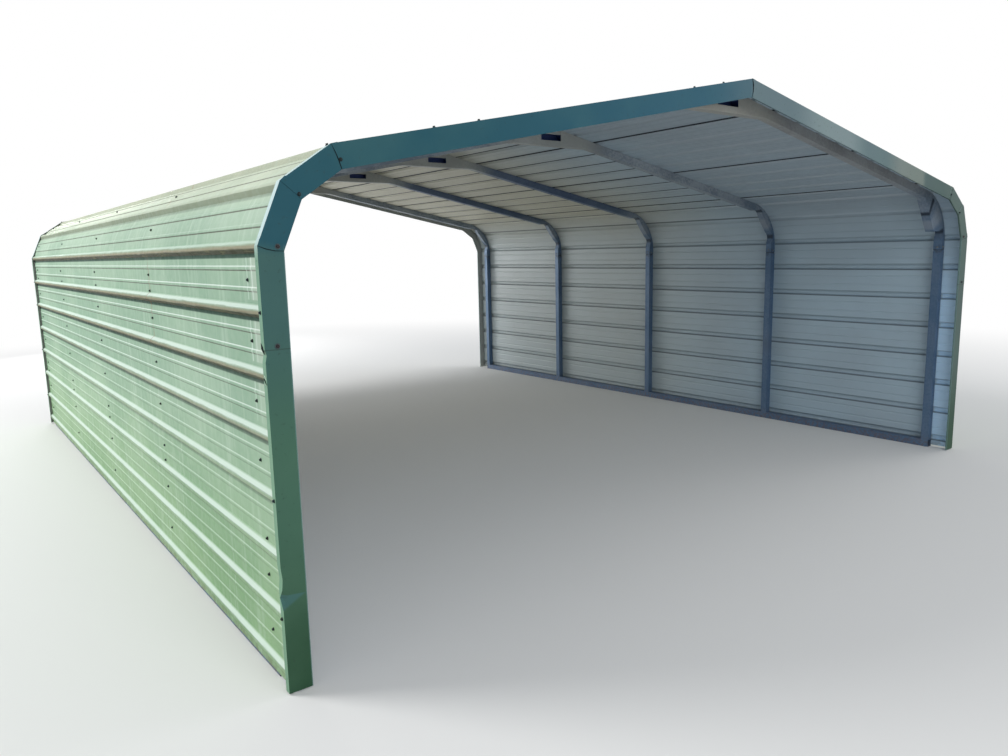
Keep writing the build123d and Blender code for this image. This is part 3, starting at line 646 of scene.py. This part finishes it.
def screwPattern():
    bm = bmesh.new()
    bmesh.ops.create_cone(bm, cap_ends=True, segments=14, radius1=screw["washer"],
                          radius2=screw["washer"] * screw["washerTaper"], depth=screw["washerTall"],
                          matrix=Matrix.Translation((0, 0, screw["washerTall"] / 2)))
    for face in bm.faces:
        face.material_index = 1
    middle = screw["washerTall"] + screw["headTall"] / 2
    made = bmesh.ops.create_cone(bm, cap_ends=True, segments=6, radius1=screw["head"],
                                 radius2=screw["head"] * screw["headTaper"], depth=screw["headTall"],
                                 matrix=Matrix.Translation((0, 0, middle)))
    top = [e for e in bm.edges if all(v in made["verts"] and v.co.z > middle for v in e.verts)]
    bmesh.ops.bevel(bm, geom=top, offset=screw["round"], offset_type="OFFSET", affect="EDGES", segments=1,
                    profile=0.5, material=-1)
    mesh = bpy.data.meshes.new("screwPattern")
    bm.to_mesh(mesh)
    bm.free()
    return mesh


def strayed(place):
    lean = math.radians(screw["lean"])
    slip = screw["slip"]
    shift = Matrix.Translation((random.uniform(-slip, slip), random.uniform(-slip, slip), 0))
    turn = Euler((random.uniform(-lean, lean), random.uniform(-lean, lean), random.uniform(0, math.tau)))
    return place @ shift @ turn.to_matrix().to_4x4()


oneScrew = screwPattern()
for side, sideName in ((-1, "left"), (1, "right")):
    places = []
    for number, y in enumerate(bowPlaces):
        for n in range(ribCount):
            if number or n not in screw["frontBare"]:
                places.append(strayed(seat(ribRun(n + 0.5), screw["sheetLift"], y, side)))
        for n in lapRibs:
            if number or n == screw["frontLap"]:
                places.append(strayed(seat(ribRun(n) + screw["lapAbove"], screw["sheetLift"], y, side)))
    keep(stamp(oneScrew, places), f"{sideName}_sheet_screws", ("screw", "washer"))
print("sheet screws placed")

# Folds of the trim: slit, lapped over and screwed; each slit is a near-black plate on the face,
# painted shade. Fold 0 is at the top of the leg, 3 at the peak.
fold = {
    "near": 0.0003,  # how close to the face a corner of it is found
    "peak": 3,
    "ear": 0.026, "earTaper": 0.8, "earFrom": 0.004, "earTo": 0.009,  # the flap lapped over
    "earThick": 0.0008, "slitThick": 0.0011,
    # width of each slit at four places from its outer end to its inner, and how far it bows
    "slits": ((0.0014, 0.0030, 0.0024, 0.0016), (0.0002, 0.0004, 0.0005, 0.0003),
              (0.0003, 0.0028, 0.0036, 0.0026), (0.0040, 0.0080, 0.0050, 0.0008)),
    "sway": (-0.006, 0.001, 0.003, 0.011),
    # screws through the flaps: place along the slit, place across the flap, height
    "screwShare": (0.72, 0.82, 0.62), "screwAcross": 0.35, "screwLift": 0.0005,
    "rusty": (0,),
}


def trimFolds():
    # outer and inner corner of the right rake trim's face at each fold
    spots = set()
    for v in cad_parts["front_right_rake_trim"].data.vertices:
        if v.co.y < cadBox[0].y + fold["near"]:
            spots.add((round(v.co.z, 4), round(v.co.x, 4)))
    spots = [Vector((x, 0, z)) for z, x in sorted(spots)]
    return list(zip(spots[1::2], spots[0::2]))


def plate(points, thick):
    # flat plate drawn in XY and standing on it
    bm = bmesh.new()
    face = bm.faces.new([bm.verts.new((x, y, 0)) for x, y in points])
    made = bmesh.ops.extrude_face_region(bm, geom=[face])
    raised = [v for v in made["geom"] if isinstance(v, bmesh.types.BMVert)]
    bmesh.ops.translate(bm, vec=(0, 0, thick), verts=raised)
    bmesh.ops.recalc_face_normals(bm, faces=bm.faces)
    mesh = bpy.data.meshes.new("platePattern")
    bm.to_mesh(mesh)
    bm.free()
    return mesh


def onFace(start, toward, end, side):
    # stands a pattern on the trim's face at start, its X toward the second point
    start = Vector((start.x * side, faceFront * end, start.z))
    toward = Vector((toward.x * side, faceFront * end, toward.z))
    along = (toward - start).normalized()
    outward = Vector((0, end, 0))
    turned = Matrix((along, outward.cross(along), outward)).transposed().to_4x4()
    return Matrix.Translation(start) @ turned


trimCorners = trimFolds()
slits, ears, faceScrews, rustyScrews = bmesh.new(), bmesh.new(), [], []
for end in (-1, 1):
    for side in (-1, 1):
        for number, (outer, inner) in enumerate(trimCorners):
            if number == fold["peak"] and side > 0:
                continue  # both sides share it
            place = onFace(outer, inner, end, side)
            length = (inner - outer).length
            above, under = [], []
            widths = fold["slits"][number]
            for n, width in enumerate(widths):
                share = n / (len(widths) - 1)
                middle = fold["sway"][number] * math.sin(math.pi * share) * side * end
                above.append((length * share, middle + width / 2))
                under.append((length * share, middle - width / 2))
            ear = fold["ear"] * side * end
            earPoints = above + [(length - fold["earTo"], ear * fold["earTaper"]), (fold["earFrom"], ear)]
            for points, thick, target in ((under + above[::-1], fold["slitThick"], slits),
                                          (earPoints, fold["earThick"], ears)):
                mesh = plate(points, thick)
                mesh.transform(place)
                target.from_mesh(mesh)
                bpy.data.meshes.remove(mesh)
            if number < fold["peak"]:
                spot = place @ Matrix.Translation((length * fold["screwShare"][number],
                                                   ear * fold["screwAcross"], fold["screwLift"]))
                group = rustyScrews if number in fold["rusty"] else faceScrews
                group.append(strayed(spot))
keep(slits, "trim_fold_slits", ("gap",))
keep(ears, "trim_fold_laps", ("trim",))

# The leg trim is two lengths, the upper lapped over the lower
splice = {"thick": 0.0007, "endGap": 0.006, "screwRise": 0.016, "screwIn": 0.046, "returnDeep": 0.0312}
legOuter, legInner = trimCorners[0]
splices = bmesh.new()
for end in (-1, 1):
    for side in (-1, 1):
        top = legInner.z - splice["endGap"]
        tall = top - spliceHeight
        middle = spliceHeight + tall / 2
        wide = legOuter.x - legInner.x
        faceSize = (wide, splice["thick"], tall)
        facePlace = (side * (legOuter.x - wide / 2), end * (faceFront + splice["thick"] / 2), middle)
        backSize = (splice["thick"], splice["returnDeep"], tall)
        backPlace = (side * (legOuter.x + splice["thick"] / 2),
                     end * (faceFront + splice["thick"] - splice["returnDeep"] / 2), middle)
        for size, place in ((faceSize, facePlace), (backSize, backPlace)):
            cubePlace = Matrix.LocRotScale(Vector(place), None, Vector(size))
            bmesh.ops.create_cube(splices, size=1, matrix=cubePlace)
        spot = Vector((legOuter.x - splice["screwIn"], 0, spliceHeight + splice["screwRise"]))
        place = onFace(spot, spot + Vector((0, 0, 1)), end, side)
        rustyScrews.append(strayed(place @ Matrix.Translation((0, 0, splice["thick"]))))
keep(splices, "leg_trim_splices", ("trim",))

# The front left return has torn at the splice and at the rib below: near-black plates are painted
# shade in the holes, and pale lips stand for bared steel and for light caught on the curled edges;
# depth behind the face, height
tears = {
    "gap": (((0.031, 1.340), (0.031, 1.319), (0.022, 1.310),
             (0.002, 1.299), (0.002, 1.304), (0.014, 1.327)),
            ((0.030, 1.211), (0.021, 1.204), (0.008, 1.194),
             (0.001, 1.190), (0.012, 1.203), (0.022, 1.214))),
    "bareAndLit": (((0.019, 1.224), (0.013, 1.222), (0.004, 1.209), (0.011, 1.214)),
             ((0.026, 1.203), (0.020, 1.199), (0.010, 1.189), (0.017, 1.197))),
    "thick": {"gap": 0.0006, "bareAndLit": 0.0016},
}
beside = Matrix(((0, -1, 0), (0, 0, 1), (-1, 0, 0))).transposed().to_4x4()
tearPlace = Matrix.Translation((-legOuter.x - splice["thick"], -faceFront, 0)) @ beside
for finish, name in (("gap", "return_tears"), ("bareAndLit", "return_tear_lips")):
    torn = bmesh.new()
    for outline in tears[finish]:
        mesh = plate([(-deep, height) for deep, height in outline], tears["thick"][finish])
        mesh.transform(tearPlace)
        torn.from_mesh(mesh)
        bpy.data.meshes.remove(mesh)
    keep(torn, name, (finish,))

for side in (-1, 1):
    for end in (-1, 1):
        for n in screw["returnRibs"]:
            if n == screw["tornOut"] and side < 0 and end < 0:
                continue
            y = end * (halfSheet - screw["trimEdge"])
            faceScrews.append(strayed(seat(ribRun(n), screw["trimLift"], y, side)))
keep(stamp(oneScrew, faceScrews), "trim_screws", ("screw", "washer"))
crept = Matrix.Diagonal((screw["rustSpread"], screw["rustSpread"], 1, 1))
keep(stamp(oneScrew, [place @ crept for place in rustyScrews]), "rusted_trim_screws",
     ("rustyScrew", "rustyWasher"))
print("trim laps and screws placed")

# Screws through each bow into the swaged end of its leg, on its front and on its inner side
places = []
for side in (-1, 1):
    for y in bowPlaces:
        for facing in (Vector((0, -1, 0)), Vector((-side, 0, 0))):
            middle = Vector((side * (halfWidth - tubeSize / 2), y, jointHeight + screw["jointRise"]))
            up = Vector((0, 0, 1))
            turned = Matrix((up.cross(facing), up, facing)).transposed().to_4x4()
            places.append(strayed(Matrix.Translation(middle + facing * tubeSize / 2) @ turned))
keep(stamp(oneScrew, places), "joint_screws", ("plain", "plain"))
print("joint screws placed")

# Knocks on the front left leg trim, between the ribs where nothing stands behind its edge: two
# dents in the outer edge, and low down a corner crushed back; the crease in the face beside it
# is only painted, as a reflection in the trim's paint
knocks = {
    "edge": ((1.296, 0.024, 0.0055), (0.462, 0.046, 0.0045)),  # height, half length, how far in
    "edgeWide": 0.020,
    "crush": {"height": 0.384, "above": 0.036, "below": 0.046, "deep": 0.027, "wide": 0.0188},
    "returnDeep": 0.032,
    "step": 0.006, "columns": (0.003, 0.007, 0.011, 0.015, 0.0188), "rows": (0.006, 0.014, 0.022),
    "merge": 0.00001, "flat": 0.01,  # metres, radians
}


def dentedTrim():
    bm = bmesh.new()
    bm.from_mesh(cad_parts["front_left_leg_trim"].data)
    bmesh.ops.remove_doubles(bm, verts=bm.verts, dist=knocks["merge"])
    bmesh.ops.dissolve_limit(bm, angle_limit=knocks["flat"], verts=bm.verts, edges=bm.edges)
    crush = knocks["crush"]
    stretches = [(middle - half, middle + half) for middle, half, push in knocks["edge"]]
    stretches += [(crush["height"] - crush["below"], crush["height"]),
                  (crush["height"], crush["height"] + crush["above"])]
    heights = set()
    for low, high in stretches:
        count = round((high - low) / knocks["step"])
        heights.update(round(low + (high - low) * n / count, 5) for n in range(count + 1))
    cuts = [(Vector((0, 0, z)), Vector((0, 0, 1))) for z in sorted(heights)]
    cuts += [(Vector((-legOuter.x + inset, 0, 0)), Vector((1, 0, 0))) for inset in knocks["columns"]]
    cuts += [(Vector((0, -faceFront + deep, 0)), Vector((0, 1, 0))) for deep in knocks["rows"]]
    for middle, facing in cuts:
        geom = bm.verts[:] + bm.edges[:] + bm.faces[:]
        bmesh.ops.bisect_plane(bm, geom=geom, dist=knocks["merge"], plane_co=middle, plane_no=facing)
    for v in bm.verts:
        inset = v.co.x + legOuter.x
        deep = v.co.y + faceFront
        for middle, half, push in knocks["edge"]:
            off = abs(v.co.z - middle) / half
            if off < 1 and inset < knocks["edgeWide"]:
                v.co.x += push * (1 - off) * (1 - inset / knocks["edgeWide"])
        rise = v.co.z - crush["height"]
        off = rise / crush["above"] if rise > 0 else -rise / crush["below"]
        if off < 1 and inset < crush["wide"]:
            back = crush["deep"] * (1 - off) * (1 - inset / crush["wide"])
            v.co.y += back * max(0, 1 - deep / knocks["returnDeep"])
    bmesh.ops.recalc_face_normals(bm, faces=bm.faces)
    return bm


piece = keep(dentedTrim(), "front_left_leg_trim_dented", ("trim",))
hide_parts("front_left_leg_trim")
print("leg trim dented")

# Floor, light and camera
floor = {"size": 120, "pale": "#E4E3E0", "near": 5.0, "far": 13.0}


def paleFloor():
    # Plain matt floor that fades to the white background far off
    material, tree = newTree("pale_studio_floor")
    place = addNode(tree, "ShaderNodeTexCoord", {}, {})["Object"]
    away = addNode(tree, "ShaderNodeVectorMath", {"operation": "LENGTH"}, {0: place})["Value"]
    shares = makeShares(tree, {"far": (away, floor["near"], floor["far"], 0, 1)}, {})
    rays = addNode(tree, "ShaderNodeLightPath", {}, {})
    seen = addNode(tree, "ShaderNodeMath", {"operation": "MULTIPLY"},
                   {0: shares["far"], 1: rays["Is Camera Ray"]})[0]
    paint = addNode(tree, "ShaderNodeBsdfDiffuse", {}, {"Color": hexColour(floor["pale"])})[0]
    glow = addNode(tree, "ShaderNodeEmission", {}, {"Color": (1, 1, 1, 1), "Strength": 1.0})[0]
    mixed = addNode(tree, "ShaderNodeMixShader", {}, {0: seen, 1: paint, 2: glow})[0]
    addNode(tree, "ShaderNodeOutputMaterial", {}, {"Surface": mixed})
    return material


bm = bmesh.new()
bmesh.ops.create_grid(bm, x_segments=1, y_segments=1, size=floor["size"] / 2)
floorMesh = bpy.data.meshes.new("studio_floor")
bm.to_mesh(floorMesh)
bm.free()
floorMesh.materials.append(paleFloor())
floorPiece = bpy.data.objects.new("studio_floor", floorMesh)
bpy.context.scene.collection.objects.link(floorPiece)

lamps = {
    "key": {"place": (-9.5, 3.5, 8.5), "aim": (-1.5, -0.5, 0.6), "size": 5.0, "power": 900},
    "fill": {"place": (-3.0, -12.0, 5.5), "aim": (0, 0, 1.0), "size": 9.0, "power": 380},
    "side": {"place": (11.0, -4.0, 7.0), "aim": (0, 0, 1.0), "size": 8.0, "power": 260},
    "rear": {"place": (-0.8, 10.5, 2.4), "aim": (1.5, 1.5, 1.2), "size": 3.6, "power": 330},
}
for name, lamp in lamps.items():
    data = bpy.data.lights.new(name, "AREA")
    data.shape = "DISK"
    data.size = lamp["size"]
    data.energy = lamp["power"]
    lampObject = bpy.data.objects.new(name, data)
    lampObject.location = lamp["place"]
    aim = Vector(lamp["aim"]) - Vector(lamp["place"])
    lampObject.rotation_euler = aim.to_track_quat("-Z", "Y").to_euler()
    bpy.context.scene.collection.objects.link(lampObject)

daylight = {"strength": 0.58, "tint": "#EEF4FC"}
world = bpy.data.worlds.new("pale_studio")
bpy.context.scene.world = world
world.use_nodes = True
tree = world.node_tree
tree.nodes.clear()
rays = addNode(tree, "ShaderNodeLightPath", {}, {})
shown = addNode(tree, "ShaderNodeMath", {"operation": "MAXIMUM"},
                {0: rays["Is Camera Ray"], 1: rays["Is Glossy Ray"]})[0]
shown = addNode(tree, "ShaderNodeMath", {"operation": "MAXIMUM"},
                {0: shown, 1: rays["Is Transmission Ray"]})[0]
lit = addNode(tree, "ShaderNodeBackground", {},
              {"Color": hexColour(daylight["tint"]), "Strength": daylight["strength"]})[0]
white = addNode(tree, "ShaderNodeBackground", {}, {"Color": (1, 1, 1, 1), "Strength": 1.0})[0]
mixed = addNode(tree, "ShaderNodeMixShader", {}, {0: shown, 1: lit, 2: white})[0]
addNode(tree, "ShaderNodeOutputWorld", {}, {"Surface": mixed})

# Found from the ribs, screws and tubes in the photo: left of the opening, looking in and down
view = {"place": (-3.7142, -5.8553, 1.6369), "yaw": -36.94, "pitch": -9.25, "roll": 1.28,
        "lens": 27.56, "sensor": 36, "far": 300}
cameraData = bpy.data.cameras.new("camera")
cameraData.sensor_width = view["sensor"]
cameraData.lens = view["lens"]
cameraData.clip_end = view["far"]
camera = bpy.data.objects.new("camera", cameraData)
yaw = Matrix.Rotation(math.radians(view["yaw"]), 4, "Z")
tilt = Matrix.Rotation(math.radians(view["pitch"]), 4, "X")
roll = Matrix.Rotation(math.radians(view["roll"]), 4, "Y")
level = Matrix.Rotation(math.pi / 2, 4, "X")  # from looking down to looking along Y
turned = yaw @ tilt @ roll @ level
camera.matrix_world = Matrix.Translation(view["place"]) @ turned
bpy.context.scene.collection.objects.link(camera)
bpy.context.scene.camera = camera
bpy.context.scene.view_settings.view_transform = "Standard"
print("stage set")
